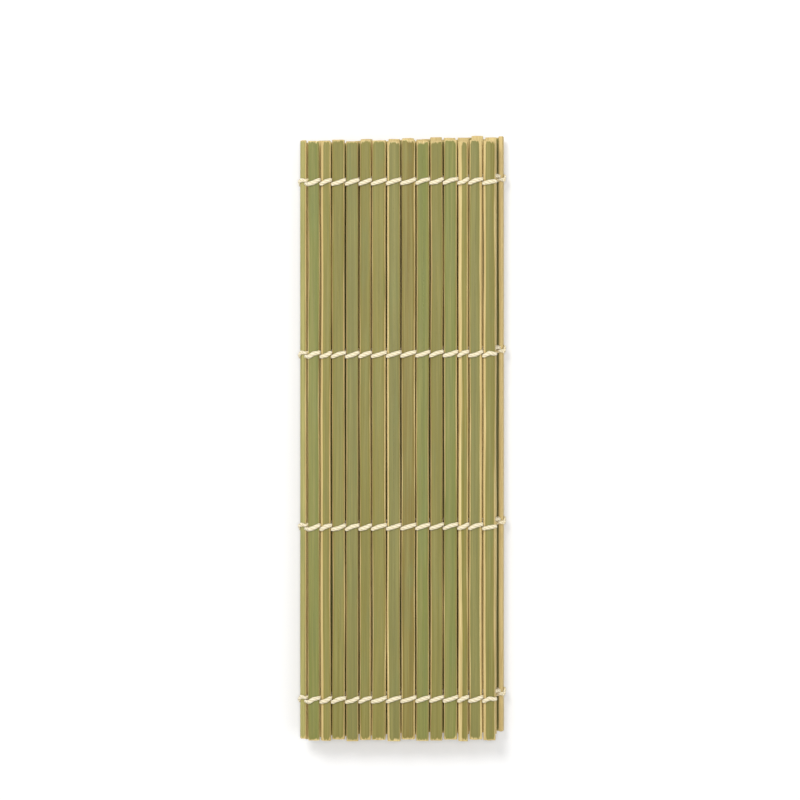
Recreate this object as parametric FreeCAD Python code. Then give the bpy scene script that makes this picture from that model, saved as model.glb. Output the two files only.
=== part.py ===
import FreeCAD, Part
import math
import os

# A bamboo sushi rolling mat, folded in three and lying flat, in millimetres.
# +X runs across the slats, +Y along them, +Z is up. The green skin of the top panel faces up.
# Laid open, the slats run from the free edge of the top panel at the right, through the left
# fold, the middle panel and the right fold, to the free edge of the bottom panel at the left.

# Slats
SLAT_LENGTH = 240.0
SLAT_THICKNESS = 1.8
SKIN_CROWN = 0.2
EDGE_BEVEL = 0.25
TOP_WIDTHS = (4.15, 3.35, 4.35, 4.15, 3.75, 4.75, 4.55, 4.75, 4.35, 4.15, 4.55, 3.15, 4.35, 4.15)
MIDDLE_COUNT = 14
MIDDLE_WIDTH = 4.35
BOTTOM_COUNT = 13
BOTTOM_WIDTH = 4.2
END_STAGGER = 0.4
STAGGER_TURN = 137.5
PANEL_SHEAR = 0.16

# Cord
ROW_COUNT = 4
ROW_MARGIN = 16.4
CORD_DIAMETER = 1.1
KNOT_DIAMETER = 2.4
FLOOR_FLAT = CORD_DIAMETER / 10

# Clearances
CORD_CLEARANCE = 0.07
STRAND_CLEARANCE = 0.4
FOLD_CLEARANCE = 0.06
LAYER_CLEARANCE = 0.8

# Each fold turns in two bends, one on each side of the slat that stands in it
GENTLE_BEND = 75.0
STEEP_BEND = 180.0 - GENTLE_BEND

# Below this sine, two runs of cord count as straight on
STRAIGHT = 1e-6

# Worked out from the sizes above
HALF_THICKNESS = SLAT_THICKNESS / 2
CORD_RADIUS = CORD_DIAMETER / 2
GAP = CORD_DIAMETER + 2 * CORD_CLEARANCE
STRAND_OFFSET = (CORD_DIAMETER + STRAND_CLEARANCE) / 2
STRAND_HEIGHT = HALF_THICKNESS + CORD_CLEARANCE + CORD_RADIUS
STRAND_BEND = CORD_RADIUS + CORD_CLEARANCE
KNOT_OFFSET = 0.35 * KNOT_DIAMETER
FOLD_GAP = 2 * (HALF_THICKNESS * math.tan(math.radians(STEEP_BEND / 2)) + FOLD_CLEARANCE)
LAYER_PITCH = SLAT_THICKNESS + 2 * (CORD_DIAMETER + CORD_CLEARANCE) + LAYER_CLEARANCE
FOLD_WIDTH = LAYER_PITCH / math.sin(math.radians(GENTLE_BEND)) - FOLD_GAP

ALONG = FreeCAD.Vector(0, 1, 0)


class Slat:
    """One slat of the mat laid open, with the bend of the gaps on its right and on its left."""

    def __init__(self, name, cord_name, width, shift):
        self.name = name
        self.cord_name = cord_name
        self.width = width
        self.shift = shift
        self.right_bend = None
        self.left_bend = None
        self.x = 0.0
        self.right_hinge = 0.0
        self.left_hinge = 0.0

    def gap(self, side):
        """The hinge line and bend of the gap at one side, -1 for the left and 1 for the right."""
        return (self.right_hinge, self.right_bend) if side > 0 else (self.left_hinge, self.left_bend)


def lay_out():
    """All slats in order from the free edge of the top panel, placed along X as the mat lies open."""
    slats = []
    for number in range(len(TOP_WIDTHS), 0, -1):
        slats.append(Slat(f"top_slat_{number:02d}", f"top_cord_{number:02d}", TOP_WIDTHS[number - 1], 0.0))
    slats.append(Slat("left_fold_slat", "left_fold_cord", FOLD_WIDTH, 0.0))
    for number in range(1, MIDDLE_COUNT + 1):
        slats.append(Slat("middle_slats", "middle_cords", MIDDLE_WIDTH, PANEL_SHEAR * number))
    shift = PANEL_SHEAR * (MIDDLE_COUNT + 1)
    slats.append(Slat("right_fold_slat", "right_fold_cord", FOLD_WIDTH, shift))
    for number in range(1, BOTTOM_COUNT + 1):
        shift -= PANEL_SHEAR
        slats.append(Slat(f"bottom_slat_{number:02d}", f"bottom_cord_{number:02d}", BOTTOM_WIDTH, shift))

    left_fold = len(TOP_WIDTHS)
    right_fold = left_fold + MIDDLE_COUNT + 1
    bends = {
        left_fold: -GENTLE_BEND,
        left_fold + 1: -STEEP_BEND,
        right_fold: GENTLE_BEND,
        right_fold + 1: STEEP_BEND,
    }
    edge = 0.0
    for index, slat in enumerate(slats):
        if index > 0:
            bend = bends.get(index, 0.0)
            gap = FOLD_GAP if bend else GAP
            slat.right_bend = bend
            slats[index - 1].left_bend = bend
            slat.right_hinge = edge - gap / 2
            slats[index - 1].left_hinge = slat.right_hinge
            edge -= gap
        slat.x = edge - slat.width / 2
        edge -= slat.width
    return slats


def turn(x, degrees):
    """The turn of everything to the left of the hinge line at x, about that line."""
    return FreeCAD.Placement(FreeCAD.Vector(), FreeCAD.Rotation(ALONG, degrees), FreeCAD.Vector(x, 0, 0))


def folded_places(slats):
    """The place of each slat's part of the mat once the mat is folded."""
    place = FreeCAD.Placement()
    places = []
    for slat in slats:
        if slat.right_bend:
            place = place.multiply(turn(slat.right_hinge, slat.right_bend))
        places.append(place)
    return places


def slat_solid(slat, index):
    half = slat.width / 2
    edge_z = HALF_THICKNESS - SKIN_CROWN
    bevel_z = EDGE_BEVEL - HALF_THICKNESS
    outline = [
        FreeCAD.Vector(-half, 0, edge_z),
        FreeCAD.Vector(-half, 0, bevel_z),
        FreeCAD.Vector(EDGE_BEVEL - half, 0, -HALF_THICKNESS),
        FreeCAD.Vector(half - EDGE_BEVEL, 0, -HALF_THICKNESS),
        FreeCAD.Vector(half, 0, bevel_z),
        FreeCAD.Vector(half, 0, edge_z),
    ]
    edges = [Part.makeLine(a, b) for a, b in zip(outline, outline[1:])]
    edges.append(Part.Arc(outline[-1], FreeCAD.Vector(0, 0, HALF_THICKNESS), outline[0]).toShape())
    section = Part.Face(Part.Wire(edges))
    stagger = END_STAGGER * math.sin(math.radians(STAGGER_TURN * index))
    section.translate(FreeCAD.Vector(slat.x, slat.shift + stagger - SLAT_LENGTH / 2, 0))
    return section.extrude(ALONG * SLAT_LENGTH)


def tube(corners, lead_in=(), lead_out=()):
    """A cord through the corners, each rounded, between the arcs that lead in and out, cut square."""
    edges = list(lead_in)
    start = corners[0]
    for before, corner, after in zip(corners, corners[1:], corners[2:]):
        back = (before - corner).normalize()
        ahead = (after - corner).normalize()
        if back.cross(ahead).Length < STRAIGHT:
            continue
        half_angle = back.getAngle(ahead) / 2
        reach = STRAND_BEND / math.tan(half_angle)
        to_middle = (back + ahead).normalize()
        depth = STRAND_BEND / math.sin(half_angle) - STRAND_BEND
        first = corner + back * reach
        last = corner + ahead * reach
        edges.append(Part.makeLine(start, first))
        edges.append(Part.Arc(first, corner + to_middle * depth, last).toShape())
        start = last
    edges.append(Part.makeLine(start, corners[-1]))
    edges.extend(lead_out)
    opening = edges[0]
    at = opening.valueAt(opening.FirstParameter)
    section = Part.Wire(Part.makeCircle(CORD_RADIUS, at, opening.tangentAt(opening.FirstParameter)))
    return Part.Wire(edges).makePipeShell([section], True, False)


def mitred(cord, hinge, bend, side):
    """The part of a cord on this slat's side of the plane halfway through a fold's bend."""
    size = 4 * LAYER_PITCH
    keep = Part.makeBox(size, size, size, FreeCAD.Vector(0, -size / 2, -size / 2))
    half_bend = abs(bend) / 2 * (1 if bend < 0 else -1)
    angle = 180 + half_bend if side > 0 else -half_bend
    keep.rotate(FreeCAD.Vector(), ALONG, angle)
    keep.translate(FreeCAD.Vector(hinge, 0, 0))
    return cord.common(keep).Solids[0]


def outside(bend, face):
    """Whether a face of the mat is on the outside of a fold's bend."""
    return bend * face < 0


def strand_end(slat, face, side):
    """Corners of a strand from one side of a slat up to the face it crosses."""
    hinge, bend = slat.gap(side)
    height = face * STRAND_HEIGHT
    if not bend:
        across = side * face * STRAND_OFFSET
        return [FreeCAD.Vector(hinge, across, 0), FreeCAD.Vector(hinge, across, height)]
    edge = FreeCAD.Vector(slat.x + side * slat.width / 2, 0, height)
    return [FreeCAD.Vector(hinge, 0, height), edge]


def round_fold(slat, face, side):
    """Points of a strand's arc round the outside of a fold, from the middle of the bend."""
    hinge, bend = slat.gap(side)
    if not bend or not outside(bend, face):
        return []
    points = []
    for share in (0.5, 0.25, 0.0):
        angle = math.radians(abs(bend) * share)
        points.append(
            FreeCAD.Vector(
                hinge + side * STRAND_HEIGHT * math.sin(angle), 0, face * STRAND_HEIGHT * math.cos(angle)
            )
        )
    return points


def strand(slat, face):
    """One strand over one face of a slat, from the middle of one gap to the middle of the next."""
    left_arc = round_fold(slat, face, -1)
    right_arc = round_fold(slat, face, 1)[::-1]
    lead_in = [Part.Arc(*left_arc).toShape()] if left_arc else []
    lead_out = [Part.Arc(*right_arc).toShape()] if right_arc else []
    cord = tube(strand_end(slat, face, -1) + strand_end(slat, face, 1)[::-1], lead_in, lead_out)
    for side in (-1, 1):
        hinge, bend = slat.gap(side)
        if bend and not outside(bend, face):
            cord = mitred(cord, hinge, bend, side)
    return cord


def edge_loop(slat, side):
    """Both strands of the outermost slat, joined round its free edge."""
    outer = slat.x + side * (slat.width / 2 + CORD_CLEARANCE + CORD_RADIUS)
    front = strand_end(slat, 1, -side)
    back = strand_end(slat, -1, -side)
    round_edge = [FreeCAD.Vector(outer, 0, STRAND_HEIGHT), FreeCAD.Vector(outer, 0, -STRAND_HEIGHT)]
    return tube(front + round_edge + back[::-1])


def cord_solids(slat):
    """The cord of one slat at one row."""
    if slat.right_bend is None:
        return [edge_loop(slat, 1)]
    if slat.left_bend is None:
        loop = edge_loop(slat, -1)
        outer = slat.x - slat.width / 2 - CORD_CLEARANCE - CORD_RADIUS - KNOT_OFFSET
        middle = FreeCAD.Vector(outer, 0, 0)
        knot = Part.makeSphere(KNOT_DIAMETER / 2, middle)
        knot.rotate(middle, FreeCAD.Vector(0, 0, 1), 180)
        return [loop.fuse(knot).removeSplitter().Solids[0]]
    return [strand(slat, 1), strand(slat, -1)]


def row_places():
    span = SLAT_LENGTH - 2 * ROW_MARGIN
    return [span * (row / (ROW_COUNT - 1) - 0.5) for row in range(ROW_COUNT)]


def build():
    """Every node's solids, folded, standing on Z = 0 and centred on X and Y."""
    slats = lay_out()
    nodes = {}
    for index, (slat, place) in enumerate(zip(slats, folded_places(slats))):
        wood = slat_solid(slat, index)
        wood.transformShape(place.toMatrix(), True)
        nodes.setdefault(slat.name, []).append(wood)
        for cord in cord_solids(slat):
            for y in row_places():
                stitch = cord.copy()
                stitch.translate(ALONG * (y + slat.shift))
                stitch.transformShape(place.toMatrix(), True)
                nodes.setdefault(slat.cord_name, []).append(stitch)
    move = seat(nodes)
    for solids in nodes.values():
        for solid in solids:
            solid.translate(move)
    for name in nodes:
        if name.startswith("bottom_cord"):
            nodes[name] = [flat_below(solid) for solid in nodes[name]]
    return nodes


def seat(nodes):
    """The move that centres the folded mat and sinks its lowest cord by the depth of its flat."""
    box = Part.makeCompound([s for solids in nodes.values() for s in solids]).optimalBoundingBox(False, False)
    return FreeCAD.Vector(-box.Center.x, -box.Center.y, -box.ZMin - FLOOR_FLAT)


def flat_below(solid):
    """A cord pressed flat where the mat lies on it."""
    box = solid.BoundBox
    if box.ZMin > 0:
        return solid
    below = Part.makeBox(box.XLength + 2, box.YLength + 2, 1, FreeCAD.Vector(box.XMin - 1, box.YMin - 1, -1))
    return solid.cut(below).Solids[0]


def main():
    os.makedirs("parts", exist_ok=True)
    for name, solids in build().items():
        Part.makeCompound(solids).exportStep(os.path.join("parts", name + ".step"))


if __name__ == "__main__":
    main()
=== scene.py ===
import math

import bmesh
import bpy
from mathutils import Matrix, Vector, noise


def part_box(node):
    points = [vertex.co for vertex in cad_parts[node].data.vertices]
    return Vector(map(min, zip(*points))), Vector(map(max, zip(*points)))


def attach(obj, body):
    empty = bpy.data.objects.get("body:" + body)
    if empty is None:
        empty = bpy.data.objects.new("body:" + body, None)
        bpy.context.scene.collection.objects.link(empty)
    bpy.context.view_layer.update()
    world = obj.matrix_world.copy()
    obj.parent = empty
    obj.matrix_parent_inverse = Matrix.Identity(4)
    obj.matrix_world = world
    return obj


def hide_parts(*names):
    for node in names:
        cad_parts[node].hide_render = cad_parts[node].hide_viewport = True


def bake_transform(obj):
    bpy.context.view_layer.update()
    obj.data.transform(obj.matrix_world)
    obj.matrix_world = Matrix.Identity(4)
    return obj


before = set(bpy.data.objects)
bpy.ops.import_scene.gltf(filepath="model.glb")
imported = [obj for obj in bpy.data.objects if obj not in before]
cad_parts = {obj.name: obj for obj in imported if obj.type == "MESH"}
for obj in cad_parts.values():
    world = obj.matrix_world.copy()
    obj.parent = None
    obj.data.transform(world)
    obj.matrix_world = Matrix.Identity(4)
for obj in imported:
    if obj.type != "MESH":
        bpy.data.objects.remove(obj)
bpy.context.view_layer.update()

# A bamboo rolling mat folded in three. Sizes are millimetres in the mat laid open, green skin up,
# with X across the slats and Y along them. Each slat's matrix takes it to its folded place, in metres.
MM = 0.001


def corners(node):
    """A solid's lowest and highest corners, in millimetres."""
    low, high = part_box(node)
    return low / MM, high / MM


def breadth(node):
    """How far a solid reaches across the slats, in millimetres."""
    low, high = corners(node)
    return high.x - low.x


# Panels, gaps and folds, as the solids have them. The top panel's first slat is beside the left fold.
TOP_COUNT, MIDDLE_COUNT, BOTTOM_COUNT = 14, 14, 13
FIRST_LOW, FIRST_HIGH = corners("top_slat_01")
LENGTH = FIRST_HIGH.y - FIRST_LOW.y
HALF_THICKNESS = 0.9
GAP = corners("top_slat_02")[0].x - FIRST_HIGH.x
MIDDLE_WIDTH = (breadth("middle_slats") + GAP) / MIDDLE_COUNT - GAP
LAYER_PITCH = (FIRST_LOW.z - corners("bottom_slat_01")[0].z) / 2
GENTLE, STEEP = 75.0, 105.0
BENDS = {"left_fold": -GENTLE, "middle_01": -STEEP, "right_fold": GENTLE, "bottom_01": STEEP}
FOLD_CLEARANCE = 0.06
FOLD_GAP = 2 * (HALF_THICKNESS * math.tan(math.radians(STEEP / 2)) + FOLD_CLEARANCE)
FOLD_WIDTH = LAYER_PITCH / math.sin(math.radians(GENTLE)) - FOLD_GAP

# How far the middle and bottom panels run askew, slat by slat, and how unevenly all slats' ends lie
SHEAR = 0.16
STAGGER, STAGGER_TURN = 0.4, 137.5

# Rows of cord, how far each wavers from straight, and how far its two strands lie to each side of it
ROW_COUNT, ROW_MARGIN = 4, 16.4
ROWS = [(LENGTH - 2 * ROW_MARGIN) * (row / (ROW_COUNT - 1) - 0.5) for row in range(ROW_COUNT)]
ROW_SPACING = ROWS[1] - ROWS[0]
ROW_WAVER = 0.22
STRAND_Y = 0.82

# Uneven wood: sides that swell into the gaps, and further below FLARE_BELOW on the top panel's backs.
# The left fold's slat has a rounder skin above CROWN_ABOVE and keeps its skin down one side.
SWELL = 0.17
BACK_FLARE, FLARE_BELOW = 2.1, 0.2
FOLD_CROWN, CROWN_ABOVE = 0.55, 0.5
FOLD_SKIN_ABOVE = -0.4

# The bow of a slat at and between the rows, and its lift. Each has its noise: the step between slats, the
# rate along a slat and the seed.
BOW_AT_ROWS, BOW_BETWEEN = 0.05, 0.32
BOW_NOISE = (7.3, 0.021, 0)
LIFT = 0.05
LIFT_NOISE = (3.1, 0.013, 5)

# Sawn ends: how ragged they are, with the noise's rate and its step between slats, how they are scaled in
# to round them, and how far in from them the skin is worn
RAG, RAG_RATE, RAG_STEP = 0.16, 1.3, 11.7
END_ROUNDING = (0.9775, 1.0, 0.91)
END_WEAR = 0.8

# Stations along a slat, as shares of half its length
STATIONS = [-1, -0.9965, -0.985] + [k / 9 for k in range(-8, 9)] + [0.985, 0.9965, 1]


class Slat:
    """One slat of the mat laid open, with the hinge lines and bends of the gaps on its right and left."""

    def __init__(self, name, body, node, cord_node, width, shift):
        self.name = name
        self.body = body
        self.node = node
        self.cord_node = cord_node
        self.width = width
        self.shift = shift
        self.right_bend = self.left_bend = None
        self.right = self.left = 0.0


def panel_slat(panel, n, shift):
    """A slat of the top or the bottom panel."""
    name = f"{panel}_{n:02d}"
    node = f"{panel}_slat_{n:02d}"
    return Slat(name, name, node, f"{panel}_cord_{n:02d}", breadth(node), shift)


def fold_slat(name, shift):
    """The slat that stands in a fold."""
    return Slat(name, name, name + "_slat", name + "_cord", FOLD_WIDTH, shift)


def all_slats():
    """The slats in order from the free edge of the top panel to the free edge of the bottom panel."""
    slats = [panel_slat("top", n, 0.0) for n in range(TOP_COUNT, 0, -1)]
    slats.append(fold_slat("left_fold", 0.0))
    for n in range(1, MIDDLE_COUNT + 1):
        name = f"middle_{n:02d}"
        slats.append(Slat(name, "middle_panel", "middle_slats", "middle_cords", MIDDLE_WIDTH, SHEAR * n))
    shift = SHEAR * (MIDDLE_COUNT + 1)
    slats.append(fold_slat("right_fold", shift))
    slats += [panel_slat("bottom", n, shift - SHEAR * n) for n in range(1, BOTTOM_COUNT + 1)]
    return slats


def uneven(number, rate, start):
    """A value from -1 to 1 that differs from slat to slat."""
    return math.sin(rate * number + start)


def lay_out():
    """All slats, each with its place along X in the open mat and the matrix that folds it into place."""
    slats = all_slats()
    edge, place = 0.0, Matrix.Identity(4)
    for i, slat in enumerate(slats):
        if i:
            bend = BENDS.get(slat.name, 0.0)
            gap = FOLD_GAP if bend else GAP
            slat.right_bend = slats[i - 1].left_bend = bend
            slat.right = slats[i - 1].left = edge - gap / 2
            edge -= gap
            hinge = Matrix.Translation((slat.right, 0, 0))
            place = place @ hinge @ Matrix.Rotation(math.radians(bend), 4, "Y") @ hinge.inverted()
        slat.place = place
        slat.x = edge - slat.width / 2
        edge -= slat.width
        slat.number = i
        slat.stagger = STAGGER * math.sin(math.radians(STAGGER_TURN * i))
        slat.row_shift = slat.shift + ROW_WAVER * uneven(i, 0.37, 0.6)
    seat_on_solids(slats)
    return slats


def seat_on_solids(slats):
    """Move the folded mat so that its first slat lies where that slat's solid does, in metres."""
    first = slats[0]
    low, high = corners(first.node)
    across = (low.x + high.x) / 2 - first.x
    along = (low.y + high.y) / 2 - first.stagger
    seat = Vector((across, along, low.z + HALF_THICKNESS))
    for slat in slats:
        slat.place = Matrix.Scale(MM, 4) @ Matrix.Translation(seat) @ slat.place


def linear(code):
    """A colour's linear values from its hexadecimal code."""
    values = [int(code[i:i + 2], 16) / 255 for i in (0, 2, 4)]
    return [v / 12.92 if v <= 0.04045 else ((v + 0.055) / 1.055) ** 2.4 for v in values]


# Skin tones, and the slats that have them. The top panel's tones are partly the bamboo's own colour and
# partly painted light and shade from how each slat tilts.
TONES = {
    "olive": linear("7A722B"),
    "green": linear("72772F"),
    "brown": linear("796820"),
    "yellow": linear("B0A966"),
    "dull": linear("767235"),
    "warm": linear("80762D"),
}
TOP_TONES = (
    "green", "warm", "olive", "dull", "olive", "warm", "dull",
    "brown", "green", "olive", "green", "warm", "dull", "olive",
)
HIDDEN_TONES = ("olive", "green", "dull", "warm", "olive", "brown", "green")

# Planed edges of bare wood: the usual width and how far it varies, and the slats with other widths, left
# and right. An edge no wider than WIDE_PLANED keeps a share of its skin.
USUAL_PLANED, PLANED_SPREAD = 0.3, 0.14
PLANED = {
    "top_02": (0.9, 0.4),
    "top_07": (0.6, 0.3),
    "top_12": (1.3, 0.4),
    "top_13": (0.4, 1.0),
    "top_14": (0.9, 0.5),
}
WIDE_PLANED = 0.5
SKIN_LEFT = 0.44


def tone(slat):
    """A slat's skin tone."""
    if slat.name.startswith("top"):
        return TONES[TOP_TONES[int(slat.name[-2:]) - 1]]
    if slat.name == "left_fold":
        return TONES["yellow"]
    return TONES[HIDDEN_TONES[slat.number % len(HIDDEN_TONES)]]


def planed_widths(slat):
    """Widths of a slat's planed edges, left and right."""
    left = USUAL_PLANED + PLANED_SPREAD * uneven(slat.number, 3.1, 0)
    right = USUAL_PLANED + PLANED_SPREAD * uneven(slat.number, 2.3, 1)
    return PLANED.get(slat.name, (left, right))


def side_outline(slat, side, planed):
    """One side of a slat's outline from the skin to the back: across, up and share of green skin."""
    half = slat.width / 2
    face, back = HALF_THICKNESS, -HALF_THICKNESS
    skin_edge = half - planed - 0.2
    bare = 0.0 if planed > WIDE_PLANED else SKIN_LEFT
    points = (
        (0.3 * skin_edge, face - 0.01, 1.0),
        (skin_edge, face - 0.055, 1.0),
        (half - planed, face - 0.09, 0.75),
        (half - 0.2 * planed, face - 0.12 - 0.26 * planed, bare),
        (half - 0.02, face - 0.2 - 0.34 * planed, bare),
        (half, 0.1, 0.0),
        (half - 0.02, back + 0.3, 0.0),
        (half - 0.22, back + 0.02, 0.0),
        (0.4 * half, back, 0.0),
    )
    in_fold = slat.left_bend if side < 0 else slat.right_bend
    outline = []
    for x, z, skin in points:
        swell = 0.0 if in_fold else SWELL
        if slat.name.startswith("top") and z < FLARE_BELOW:
            swell *= BACK_FLARE
        if slat.name == "left_fold":
            if z > CROWN_ABOVE:
                z += FOLD_CROWN * (1 - (x / half) ** 2)
            if side > 0 and z > FOLD_SKIN_ABOVE:
                skin = 1.0
        outline.append((side * x * (1 + swell / half), z, skin))
    return outline


def finish_mesh(name, bm, material):
    """A smooth object at the origin from a finished bmesh."""
    mesh = bpy.data.meshes.new(name)
    bm.to_mesh(mesh)
    bm.free()
    for polygon in mesh.polygons:
        polygon.use_smooth = True
    mesh.materials.append(material)
    piece = bpy.data.objects.new(name, mesh)
    bpy.context.scene.collection.objects.link(piece)
    return piece


def draw_out(bm, end):
    """Draw a bar out from its end face, and return the new end face, still in the old one's place."""
    made = bmesh.ops.extrude_face_region(bm, geom=[end, *end.edges, *end.verts])
    return next(item for item in made["geom"] if isinstance(item, bmesh.types.BMFace))


def saw_off(bm, cap, slat, seed):
    """Leave a slat's end ragged and a little rounded, apart from its sides so that its edge stays sharp."""
    for vert in cap.verts:
        spot = Vector((vert.co.x * RAG_RATE, vert.co.z * RAG_RATE, RAG_STEP * slat.number + seed))
        vert.co.y += RAG * noise.noise(spot)
    bmesh.ops.scale(bm, verts=cap.verts, vec=END_ROUNDING)
    bmesh.ops.split_edges(bm, edges=cap.edges)


def drift(slat, y, step, rate, seed):
    """A value from about -1 to 1 that changes slowly along a slat."""
    return noise.noise(Vector((step * slat.number, y * rate, seed)))


def bow_out(bm, slat):
    """Bow a slat to the sides, less where the cord holds it, and lift it a little."""
    for vert in bm.verts:
        y = vert.co.y
        between = abs(math.sin(math.pi * (y - ROWS[0]) / ROW_SPACING))
        bow = BOW_AT_ROWS + BOW_BETWEEN * between
        vert.co.x += bow * drift(slat, y, *BOW_NOISE)
        vert.co.z += LIFT * drift(slat, y, *LIFT_NOISE)


def slat_piece(slat, material):
    """A split and planed bamboo slat: crowned skin, bare planed edges, flat wood back, uneven sawn ends."""
    bm = bmesh.new()
    skin = bm.verts.layers.float.new("skin")
    sawn = bm.verts.layers.float.new("sawn")
    tint = bm.verts.layers.float_color.new("tint")
    age = 0.5 + 0.5 * uneven(slat.number ** 2, 2.4, 0.7)
    left, right = planed_widths(slat)
    section = []
    for x, z, share in side_outline(slat, 1, right) + side_outline(slat, -1, left)[::-1]:
        vert = bm.verts.new((x, STATIONS[0] * LENGTH / 2, z))
        vert[skin] = share
        vert[tint] = (*tone(slat), age)
        section.append(vert)
    start = end = bm.faces.new(section)
    for here, ahead in zip(STATIONS, STATIONS[1:]):
        end = draw_out(bm, end)
        bmesh.ops.translate(bm, verts=end.verts, vec=(0, (ahead - here) * LENGTH / 2, 0))
    bmesh.ops.recalc_face_normals(bm, faces=bm.faces)
    for vert in bm.verts:
        vert[skin] *= min(1.0, (LENGTH / 2 - abs(vert.co.y)) / END_WEAR)
    for cap, seed in ((start, -1), (end, 1)):
        saw_off(bm, cap, slat, seed)
        for vert in cap.verts:
            vert[skin] = 0.0
            vert[sawn] = 1.0
    bow_out(bm, slat)
    bmesh.ops.translate(bm, verts=bm.verts, vec=(slat.x, slat.shift + slat.stagger, 0))
    bmesh.ops.transform(bm, matrix=slat.place, verts=bm.verts)
    return finish_mesh("slat_" + slat.name, bm, material)


# Sides of a cord's section, and of a knot's
CORD_SIDES, KNOT_SIDES = 8, 6


class Strands:
    """Lengths of cord in one mesh, with how far along and how far round each point of their surface is."""

    def __init__(self):
        self.bm = bmesh.new()
        self.run = self.bm.verts.layers.float.new("run")
        self.turn = self.bm.verts.layers.float.new("turn")

    def sweep(self, points, widths, heights, outward, sides=CORD_SIDES):
        """One length through points in metres, of widths and heights in mm, with height along outward."""
        run, end, last = 0.0, None, None
        for k, point in enumerate(points):
            ahead = (points[min(k + 1, len(points) - 1)] - points[max(k - 1, 0)]).normalized()
            up = (outward[k] - ahead * outward[k].dot(ahead)).normalized()
            turned = Matrix((ahead.cross(up), up, ahead)).transposed().to_4x4()
            size = Matrix.Diagonal((widths[k] / 2 * MM, heights[k] / 2 * MM, MM, 1.0))
            station = Matrix.Translation(point) @ turned @ size
            if end is None:
                ring = bmesh.ops.create_circle(
                    self.bm, cap_ends=True, segments=sides, radius=1.0, matrix=station
                )
                end = ring["verts"][0].link_faces[0]
                for j, vert in enumerate(ring["verts"]):
                    vert[self.turn] = j / sides
            else:
                run += (point - points[k - 1]).length / MM
                end = draw_out(self.bm, end)
                bmesh.ops.transform(self.bm, matrix=station @ last.inverted(), verts=end.verts)
            for vert in end.verts:
                vert[self.run] = run
            last = station

    def piece(self, name, material):
        """The finished cord, its UV map giving millimetres along and turns around."""
        bmesh.ops.recalc_face_normals(self.bm, faces=self.bm.faces)
        uv = self.bm.loops.layers.uv.new("cord")
        for face in self.bm.faces:
            turns = [loop.vert[self.turn] for loop in face.loops]
            closes = max(turns) - min(turns) > 0.5
            for loop, turn in zip(face.loops, turns):
                loop[uv].uv = (loop.vert[self.run], 1.0 if closes and turn == 0 else turn)
        return finish_mesh(name, self.bm, material)


# Stations of a strand from one side of a slat up onto its face. LEG comes out of a gap, FOLD out of a fold's
# wider gap and EDGE from round a free edge. Each station has the distance in from the side's own line, the
# height over mid-thickness, half the width, half the thickness, the lean of the outward direction in
# degrees, and the share of the twist.
LEG = (
    (0.0, 0.03, 0.5, 0.15, 90, 1.0),
    (0.1, 0.36, 0.6, 0.24, 88, 1.0),
    (0.1, 0.82, 0.67, 0.25, 76, 1.0),
    (0.07, 1.2, 0.73, 0.42, 47, 1.0),
    (0.44, 1.41, 0.77, 0.5, 18, 0.99),
)
FOLD = (
    (-0.2, 0.86, 0.74, 0.36, 48, 1.0),
    (0.12, 1.26, 0.84, 0.45, 28, 1.0),
    (0.55, 1.42, 0.9, 0.5, 8, 0.92),
)
EDGE = (
    (-0.5, 0.0, 0.68, 0.42, 90, 0.0),
    (-0.46, 0.6, 0.68, 0.42, 75, 0.0),
    (-0.22, 1.18, 0.72, 0.45, 45, 0.0),
    (0.3, 1.4, 0.78, 0.5, 12, 0.0),
)

# The middle of a strand on a face: its height, half its width and half its thickness, how far it wanders
# along the slat and how its width varies
CREST_HEIGHT, CREST_WIDTH, CREST_THICKNESS = 1.41, 0.9, 0.55
CREST_WANDER, CREST_SLACK = 0.42, 0.05


def run_up(slat, side):
    """A strand's stations at one side of a slat."""
    bend, hinge = (slat.left_bend, slat.left) if side < 0 else (slat.right_bend, slat.right)
    if bend is None:
        table, line = EDGE, slat.x + side * (slat.width / 2 + SWELL)
    elif bend:
        table, line = FOLD, slat.x + side * slat.width / 2
    else:
        table, line = LEG, hinge
    path = []
    for into, up, wide, thick, lean, twist in table:
        path.append((line - side * into, up, wide, thick, side * lean, side * twist))
    return path


def over_face(slat, y, crown=0.0):
    """A strand over one face of a slat, from its left side to its right side."""
    wander = CREST_WANDER * uneven(slat.number, 2.9, 0.05 * y)
    wide = CREST_WIDTH * (1 + CREST_SLACK * uneven(slat.number, 1.9, 0.07 * y))
    crest = (slat.x, CREST_HEIGHT + crown, wide, CREST_THICKNESS, 0, wander)
    return [*run_up(slat, -1), crest, *run_up(slat, 1)[::-1]]


def turned_over(path):
    """The same path over the other face."""
    return [(x, -up, wide, thick, lean, -twist) for x, up, wide, thick, lean, twist in path]


def lay(strands, slat, y, path):
    """Lay a strand along its path on a slat, at the row at y."""
    turned = slat.place.to_3x3()
    points, widths, heights, outward = [], [], [], []
    for x, up, wide, thick, lean, twist in path:
        points.append(slat.place @ Vector((x, y + slat.row_shift + STRAND_Y * twist, up)))
        widths.append(2 * wide)
        heights.append(2 * thick)
        angle = math.radians(lean)
        out = Vector((math.sin(angle), 0, math.copysign(math.cos(angle), up)))
        outward.append((turned @ out).normalized())
    strands.sweep(points, widths, heights, outward)


def stitches(strands, slat, y):
    """The strands over both faces of a slat at one row, joined in one round a free edge."""
    front = over_face(slat, y, FOLD_CROWN if slat.name == "left_fold" else 0.0)
    back = turned_over(over_face(slat, y))
    if slat.right_bend is None:
        lay(strands, slat, y, front + back[::-1][1:])
    elif slat.left_bend is None:
        lay(strands, slat, y, front[::-1] + back[1:])
        knot(strands, slat, y)
    else:
        lay(strands, slat, y, front)
        lay(strands, slat, y, back)


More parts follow.
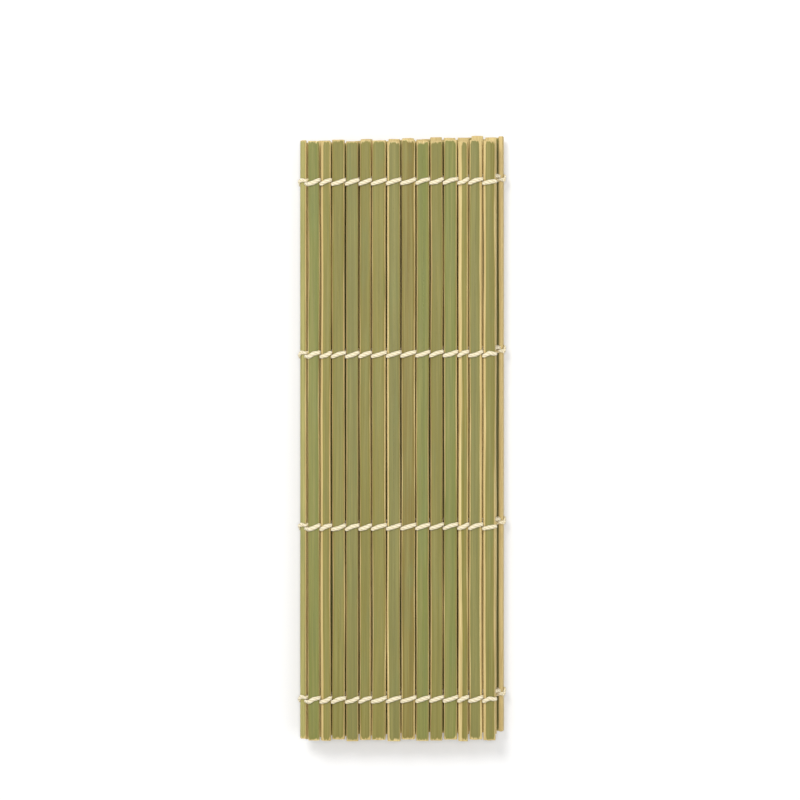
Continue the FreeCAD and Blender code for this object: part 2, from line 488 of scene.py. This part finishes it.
# The knot: how far it lies out from the free edge and up, the size and depth of its turns, and its cord.
# NUDGE tips its outward directions a little up.
KNOT_OUT, KNOT_UP, KNOT_TURN, KNOT_DEPTH, KNOT_CORD = 1.45, 0.1, 0.36, 0.55, 0.95
KNOT_STATIONS = 24
NUDGE = Vector((0, 0, 0.01))

# Its two ends: where they leave it and how far they go at each station, out and to the side, how they
# droop, and how they flatten and fray
TAIL_OUT, TAIL_SIDE, TAIL_UP = 0.5, 0.5, 0.25
TAIL_OUT_STEP, TAIL_SIDE_STEP, TAIL_DROOP = 0.7, 0.75, 0.12
TAIL_WIDTHS = (0.9, 0.9, 0.9, 0.95, 1.15)
TAIL_HEIGHTS = (0.9, 0.9, 0.85, 0.8, 0.7)


def knot(strands, slat, y):
    """An overhand knot at the free edge of the bottom panel, with two short ends."""
    centre = Vector((slat.x - slat.width / 2 - KNOT_OUT, y + slat.row_shift, KNOT_UP))
    turned = slat.place.to_3x3()
    points, outward = [], []
    for k in range(KNOT_STATIONS + 1):
        t = 2 * math.pi * k / KNOT_STATIONS
        local = Vector((
            KNOT_TURN * (math.sin(t) + 2 * math.sin(2 * t)),
            KNOT_TURN * (math.cos(t) - 2 * math.cos(2 * t)),
            -KNOT_DEPTH * math.sin(3 * t),
        ))
        points.append(slat.place @ (centre + local))
        outward.append((turned @ (local + NUDGE)).normalized())
    cord = [KNOT_CORD] * len(points)
    strands.sweep(points, cord, cord, outward, sides=KNOT_SIDES)
    for way in (-1, 1):
        tail = []
        for k in range(len(TAIL_WIDTHS)):
            out = -TAIL_OUT - TAIL_OUT_STEP * k
            aside = way * (TAIL_SIDE + TAIL_SIDE_STEP * k)
            tail.append(slat.place @ (centre + Vector((out, aside, TAIL_UP - TAIL_DROOP * k * k))))
        up = [turned.col[2].normalized()] * len(tail)
        strands.sweep(tail, TAIL_WIDTHS, TAIL_HEIGHTS, up, sides=KNOT_SIDES)


# Half of a strand through the gap of a bend, from one face of a slat down to the bend's line: distance
# from that line, height, width, thickness and share of the twist. The other half goes on to the other
# face of the next slat.
CROSSING = (
    (1.33, 1.2, 1.4, 0.54, 1.0),
    (1.03, 0.86, 1.5, 0.74, 1.0),
    (0.72, 0.58, 1.42, 0.84, 0.92),
    (0.36, 0.28, 1.3, 0.86, 0.82),
    (0.0, 0.0, 1.25, 0.86, 0.78),
)

# The outward direction of a crossing strand, across the slats and up
LEAN_OUT, LEAN_UP = -0.72, 0.69


def fold_cords(first, second, material):
    """The strands that cross in the gap of one bend, as one piece for each way they cross."""
    centre = Vector((second.right, 0, 0))
    no_turn = Matrix.Identity(3)
    half_bend = Matrix.Rotation(math.radians(second.right_bend / 2), 3, "Y")
    bend = Matrix.Rotation(math.radians(second.right_bend), 3, "Y")
    turned = first.place.to_3x3()
    middle_shift = (first.row_shift + second.row_shift) / 2
    halves = [(station, 1, no_turn, first.row_shift) for station in CROSSING[:-1]]
    halves.append((CROSSING[-1], 1, half_bend, middle_shift))
    halves += [(station, -1, bend, second.row_shift) for station in CROSSING[-2::-1]]
    for way, face in (("down", 1), ("up", -1)):
        strands = Strands()
        lean = Vector((LEAN_OUT, 0, LEAN_UP * face))
        for y in ROWS:
            points, widths, heights, outward = [], [], [], []
            for (away, up, wide, thick, twist), side, turn, shift in halves:
                across = turn @ Vector((side * away, 0, side * face * up))
                along = Vector((0, y + shift - face * STRAND_Y * twist, 0))
                points.append(first.place @ (centre + across + along))
                widths.append(wide)
                heights.append(thick)
                outward.append((turned @ turn @ lean).normalized())
            strands.sweep(points, widths, heights, outward)
        piece = strands.piece(f"fold_cord_{first.name}_{second.name}_{way}", material)
        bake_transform(piece)


def nodes_of(name):
    """A new material, what links its nodes, its shader, and what makes a node. Keys in in_ set inputs."""
    material = bpy.data.materials.new(name)
    material.use_nodes = True
    tree = material.node_tree
    shader = tree.nodes["Principled BSDF"]

    def node(kind, **settings):
        made = tree.nodes.new(kind)
        for key, value in settings.items():
            if key.startswith("in_"):
                made.inputs[key[3:].replace("_", " ")].default_value = value
            else:
                setattr(made, key, value)
        return made

    return material, tree.links.new, shader, node


def mix_colour(node, link, factor, a, b):
    """A mix of two colours, each a tuple or another node's output."""
    mixer = node("ShaderNodeMix", data_type="RGBA")
    link(factor, mixer.inputs[0])
    for socket, value in ((mixer.inputs[6], a), (mixer.inputs[7], b)):
        if isinstance(value, tuple):
            socket.default_value = (*value, 1)
        else:
            link(value, socket)
    return mixer.outputs[2]


def ramp(node, link, value, low, high, bottom=0.0, top=1.0):
    """A value eased from bottom to top as another goes from low to high."""
    made = node("ShaderNodeMapRange", interpolation_type="SMOOTHSTEP")
    made.inputs["From Min"].default_value = low
    made.inputs["From Max"].default_value = high
    made.inputs["To Min"].default_value = bottom
    made.inputs["To Max"].default_value = top
    link(value, made.inputs["Value"])
    return made.outputs["Result"]


def arithmetic(node, link, operation, first, second):
    """A math operation on a node's output and a number or another output."""
    made = node("ShaderNodeMath", operation=operation)
    link(first, made.inputs[0])
    if isinstance(second, float):
        made.inputs[1].default_value = second
    else:
        link(second, made.inputs[1])
    return made.outputs[0]


# Colours of the skin's streaks, blotches and fibres, of the wood, and of its sawn ends
SKIN_STREAK, SKIN_BLOTCH, SKIN_FIBRE = (0.31, 0.275, 0.076), (0.175, 0.21, 0.06), (0.12, 0.11, 0.035)
WOOD_FIBRE, WOOD_PALE = (0.46, 0.32, 0.11), (0.74, 0.6, 0.28)
WOOD_STREAK, WOOD_AGED = (0.77, 0.64, 0.31), (0.53, 0.39, 0.155)
SAWN_PORE, SAWN_WOOD = (0.22, 0.13, 0.045), (0.62, 0.45, 0.2)


def bamboo():
    """Green skin in long streaks over pale wood, worn through to the wood along its edges and ends."""
    material, link, shader, node = nodes_of("bamboo")
    place = node("ShaderNodeTexCoord").outputs["Object"]

    def streaks(across, along, detail, offset):
        mapping = node("ShaderNodeMapping")
        mapping.inputs["Scale"].default_value = (across, along, across)
        mapping.inputs["Location"].default_value = (offset, offset * 0.7, offset * 1.3)
        link(place, mapping.inputs["Vector"])
        made = node("ShaderNodeTexNoise", in_Scale=1.0, in_Detail=detail, in_Roughness=0.6)
        link(mapping.outputs["Vector"], made.inputs["Vector"])
        return made.outputs["Fac"]

    def blend(value, low, high, bottom, top, a, b):
        return mix_colour(node, link, ramp(node, link, value, low, high, bottom, top), a, b)

    own = node("ShaderNodeAttribute", attribute_name="tint")
    skin = node("ShaderNodeAttribute", attribute_name="skin").outputs["Fac"]
    end = node("ShaderNodeAttribute", attribute_name="sawn").outputs["Fac"]
    broad = streaks(across=900, along=14, detail=3, offset=0)
    fine = streaks(across=3600, along=40, detail=4, offset=3)
    blotch = streaks(across=160, along=30, detail=3, offset=7)

    green = blend(broad, 0.35, 0.7, 0.0, 0.55, own.outputs["Color"], SKIN_STREAK)
    green = blend(blotch, 0.5, 0.75, 0.0, 0.4, green, SKIN_BLOTCH)
    green = blend(fine, 0.3, 0.7, 0.35, 0.0, green, SKIN_FIBRE)
    wood = blend(fine, 0.35, 0.65, 0.0, 1.0, WOOD_FIBRE, WOOD_PALE)
    wood = blend(broad, 0.3, 0.7, 0.0, 0.45, wood, WOOD_STREAK)
    wood = blend(own.outputs["Alpha"], 0.0, 1.0, 0.0, 0.5, wood, WOOD_AGED)
    wear = arithmetic(node, link, "ADD", skin, ramp(node, link, broad, 0.3, 0.7, -0.22, 0.22))
    face = blend(wear, 0.35, 0.7, 0.0, 1.0, wood, green)
    pores = node("ShaderNodeTexVoronoi", in_Scale=2600.0)
    link(place, pores.inputs["Vector"])
    sawn = blend(pores.outputs["Distance"], 0.18, 0.42, 0.0, 1.0, SAWN_PORE, SAWN_WOOD)
    link(mix_colour(node, link, end, face, sawn), shader.inputs["Base Color"])
    link(ramp(node, link, skin, 0.0, 1.0, 0.62, 0.45), shader.inputs["Roughness"])
    shader.inputs["Specular IOR Level"].default_value = 0.3
    bump = node("ShaderNodeBump", in_Strength=0.25, in_Distance=0.0002)
    link(fine, bump.inputs["Height"])
    link(bump.outputs["Normal"], shader.inputs["Normal"])
    return material


# Plies of the cord and how far they turn in a millimetre, and the colours of the yarn and of the painted
# shade in the grooves between plies
PLIES, PLY_LAY = 3.0, 0.55
YARN_DARK, YARN_LIGHT, PAINTED_GROOVE_SHADE = (0.8, 0.7, 0.47), (0.92, 0.85, 0.64), (0.67, 0.57, 0.36)


def cotton():
    """Undyed cotton cord: plies laid round it from the UV map, painted shade in their grooves, fine fibre
    fuzz.
    """
    material, link, shader, node = nodes_of("cotton_cord")
    split = node("ShaderNodeSeparateXYZ")
    link(node("ShaderNodeUVMap", uv_map="cord").outputs["UV"], split.inputs["Vector"])
    along = arithmetic(node, link, "MULTIPLY", split.outputs["X"], PLY_LAY)
    around = arithmetic(node, link, "MULTIPLY", split.outputs["Y"], PLIES)
    phase = arithmetic(node, link, "ADD", along, around)
    ply = ramp(node, link, arithmetic(node, link, "PINGPONG", phase, 0.5), 0.0, 0.36)
    fibre = node("ShaderNodeTexNoise", in_Scale=5200.0, in_Detail=3.0)
    link(node("ShaderNodeTexCoord").outputs["Object"], fibre.inputs["Vector"])
    fuzz = ramp(node, link, fibre.outputs["Fac"], 0.3, 0.7)
    yarn = mix_colour(node, link, fuzz, YARN_DARK, YARN_LIGHT)
    # The grooves between plies are painted darker as shade
    link(mix_colour(node, link, ply, PAINTED_GROOVE_SHADE, yarn), shader.inputs["Base Color"])
    shader.inputs["Roughness"].default_value = 0.85
    shader.inputs["Sheen Weight"].default_value = 0.25
    fine = arithmetic(node, link, "MULTIPLY", fibre.outputs["Fac"], 0.25)
    bump = node("ShaderNodeBump", in_Strength=0.6, in_Distance=0.0002)
    link(arithmetic(node, link, "ADD", fine, ply), bump.inputs["Height"])
    link(bump.outputs["Normal"], shader.inputs["Normal"])
    return material


def build_mat():
    """Every slat with its stitches, and the strands that cross in the folds."""
    wood, cord = bamboo(), cotton()
    slats = lay_out()
    for slat in slats:
        piece = slat_piece(slat, wood)
        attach(piece, slat.body)
        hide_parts(slat.node)
        strands = Strands()
        for y in ROWS:
            stitches(strands, slat, y)
        piece = strands.piece("cord_" + slat.name, cord)
        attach(piece, slat.body)
        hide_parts(slat.cord_node)
    for first, second in zip(slats, slats[1:]):
        if second.right_bend:
            fold_cords(first, second, cord)


def seen(tree):
    """1 for the rays that show the backdrop itself, 0 for the rays that light the mat."""
    rays = tree.nodes.new("ShaderNodeLightPath")
    either = rays.outputs["Is Camera Ray"]
    for name in ("Is Glossy Ray", "Is Transmission Ray"):
        joined = tree.nodes.new("ShaderNodeMath")
        joined.operation = "MAXIMUM"
        tree.links.new(either, joined.inputs[0])
        tree.links.new(rays.outputs[name], joined.inputs[1])
        either = joined.outputs[0]
    return either


# The studio, in metres. Each lamp has its place, what it points at, its size and its power.
FLOOR_SIZE = 3.0
FLOOR_COLOUR = (0.9, 0.9, 0.9, 1)
FADE_START, FADE_END = 0.2, 0.45
WORLD_LIGHT = 0.47
LAMPS = {
    "key": ((-0.4, 0.6, 0.95), (0, 0, 0), 0.4, 6.2),
    "fill": ((0.7, -0.3, 1.0), (0, 0, 0), 0.8, 2.1),
    "overhead": ((0, 0.05, 1.3), (0, 0.02, 0), 0.35, 5.8),
}
CAMERA_PLACE = (-0.0011, 0.0151, 0.902)
LENS, SENSOR_WIDTH = 100.0, 36.0
CLIP_START = 0.01


def floor():
    """A pale floor that takes the mat's shadow and turns to plain white further out."""
    material, link, shader, node = nodes_of("floor")
    shader.inputs["Base Color"].default_value = FLOOR_COLOUR
    shader.inputs["Roughness"].default_value = 1.0
    shader.inputs["Specular IOR Level"].default_value = 0.0
    far = node("ShaderNodeVectorMath", operation="LENGTH")
    link(node("ShaderNodeTexCoord").outputs["Object"], far.inputs[0])
    fade = ramp(node, link, far.outputs["Value"], FADE_START, FADE_END)
    backdrop = node("ShaderNodeMixShader")
    link(arithmetic(node, link, "MULTIPLY", fade, seen(material.node_tree)), backdrop.inputs["Fac"])
    link(shader.outputs["BSDF"], backdrop.inputs[1])
    link(node("ShaderNodeEmission").outputs["Emission"], backdrop.inputs[2])
    link(backdrop.outputs["Shader"], material.node_tree.nodes["Material Output"].inputs["Surface"])
    bm = bmesh.new()
    bmesh.ops.create_grid(bm, x_segments=1, y_segments=1, size=FLOOR_SIZE)
    finish_mesh("floor", bm, material)


def surroundings():
    """White to look at, and an even soft light on the mat."""
    world = bpy.data.worlds.new("studio")
    bpy.context.scene.world = world
    world.use_nodes = True
    tree = world.node_tree
    background = tree.nodes["Background"]
    background.inputs["Color"].default_value = (1, 1, 1, 1)
    level = tree.nodes.new("ShaderNodeMapRange")
    level.inputs["To Min"].default_value = WORLD_LIGHT
    tree.links.new(seen(tree), level.inputs["Value"])
    tree.links.new(level.outputs["Result"], background.inputs["Strength"])


def lamp(name, place, aim, size, power):
    """A square lamp that points at its aim."""
    light = bpy.data.lights.new(name, "AREA")
    light.energy = power
    light.size = size
    made = bpy.data.objects.new(name, light)
    made.location = place
    made.rotation_euler = (Vector(aim) - Vector(place)).to_track_quat("-Z", "Y").to_euler()
    bpy.context.scene.collection.objects.link(made)


def camera():
    """A camera that looks straight down on the mat."""
    made = bpy.data.objects.new("camera", bpy.data.cameras.new("camera"))
    made.data.lens = LENS
    made.data.sensor_width = SENSOR_WIDTH
    made.data.clip_start = CLIP_START
    made.location = CAMERA_PLACE
    bpy.context.scene.collection.objects.link(made)
    bpy.context.scene.camera = made


def studio():
    """Floor, surroundings, lamps and camera."""
    bpy.context.scene.view_settings.view_transform = "Standard"
    floor()
    surroundings()
    for name, (place, aim, size, power) in LAMPS.items():
        lamp(name, place, aim, size, power)
    camera()


build_mat()
studio()
